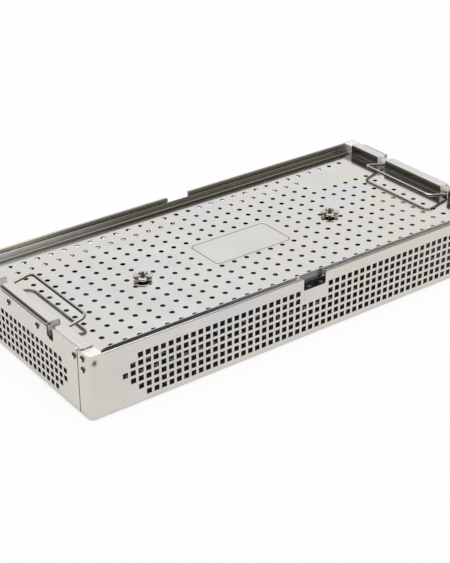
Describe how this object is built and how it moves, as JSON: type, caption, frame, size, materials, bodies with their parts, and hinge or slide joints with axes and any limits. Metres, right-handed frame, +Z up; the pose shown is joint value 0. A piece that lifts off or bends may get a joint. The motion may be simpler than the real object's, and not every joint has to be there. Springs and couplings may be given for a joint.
{
  "type": "perforated instrument tray",
  "caption": "Long perforated steel tray with a sunk perforated lid, lobed lid knobs and a wire bail at each end that folds in over the lid.",
  "frame": {"origin": "middle of the tray's footprint, on the surface that it stands on", "axes": "+X along the tray's length, to the right of the picture's near long wall; +Y from that front wall to the back wall; +Z up"},
  "size_m": [0.5952, 0.268, 0.0775],
  "materials": {
    "floor_steel": "brushed",
    "shell_steel": "brushed",
    "rail_steel": "brushed",
    "post_steel": "brushed",
    "fitting_steel": "brushed",
    "rivet_steel": "polished",
    "lid_steel": "polished",
    "stud_steel": "brushed",
    "knob_steel": "polished",
    "bail_steel": "polished"
  },
  "bodies": {
    "tray": {"floor_panel": "floor_steel", "front_wall": "shell_steel", "back_wall": "shell_steel", "left_end_panel": "shell_steel", "right_end_panel": "shell_steel", "left_rail_front": "rail_steel", "left_rail_middle": "rail_steel", "left_rail_back": "rail_steel", "right_rail_front": "rail_steel", "right_rail_middle": "rail_steel", "right_rail_back": "rail_steel", "corner_post_front_left": "post_steel", "corner_post_front_right": "post_steel", "corner_post_back_left": "post_steel", "corner_post_back_right": "post_steel", "pivot_ear_left_front": "fitting_steel", "pivot_ear_left_back": "fitting_steel", "pivot_ear_right_front": "fitting_steel", "pivot_ear_right_back": "fitting_steel", "lid_rest_front_left": "fitting_steel", "lid_rest_front_right": "fitting_steel", "lid_rest_back_left": "fitting_steel", "lid_rest_back_right": "fitting_steel", "left_end_rivets": "rivet_steel", "right_end_rivets": "rivet_steel"},
    "lid": {"lid_panel": "lid_steel"},
    "knob_left": {"knob_left": "knob_steel", "knob_stud_left": "stud_steel", "knob_collar_left": "stud_steel"},
    "knob_right": {"knob_right": "knob_steel", "knob_stud_right": "stud_steel", "knob_collar_right": "stud_steel"},
    "bail_left": {"bail_left": "bail_steel"},
    "bail_right": {"bail_right": "bail_steel"}
  },
  "joints": [
    {"name": "lid_lift", "type": "slide", "parent": "tray", "child": "lid", "axis": [0, 0, 1], "range_m": [0, 0.003]},
    {"name": "knob_left_turn", "type": "hinge", "parent": "lid", "child": "knob_left", "pos_m": [-0.1475, -0.01, 0.0638], "axis": [0, 0, 1], "continuous": true},
    {"name": "knob_right_turn", "type": "hinge", "parent": "lid", "child": "knob_right", "pos_m": [0.129, -0.01, 0.0638], "axis": [0, 0, 1], "continuous": true},
    {"name": "bail_left_swing", "type": "hinge", "parent": "tray", "child": "bail_left", "pos_m": [-0.2896, 0, 0.066], "axis": [0, -1, 0], "range_deg": [-12, 195]},
    {"name": "bail_right_swing", "type": "hinge", "parent": "tray", "child": "bail_right", "pos_m": [0.2896, 0, 0.066], "axis": [0, 1, 0], "range_deg": [-12, 195]}
  ]
}
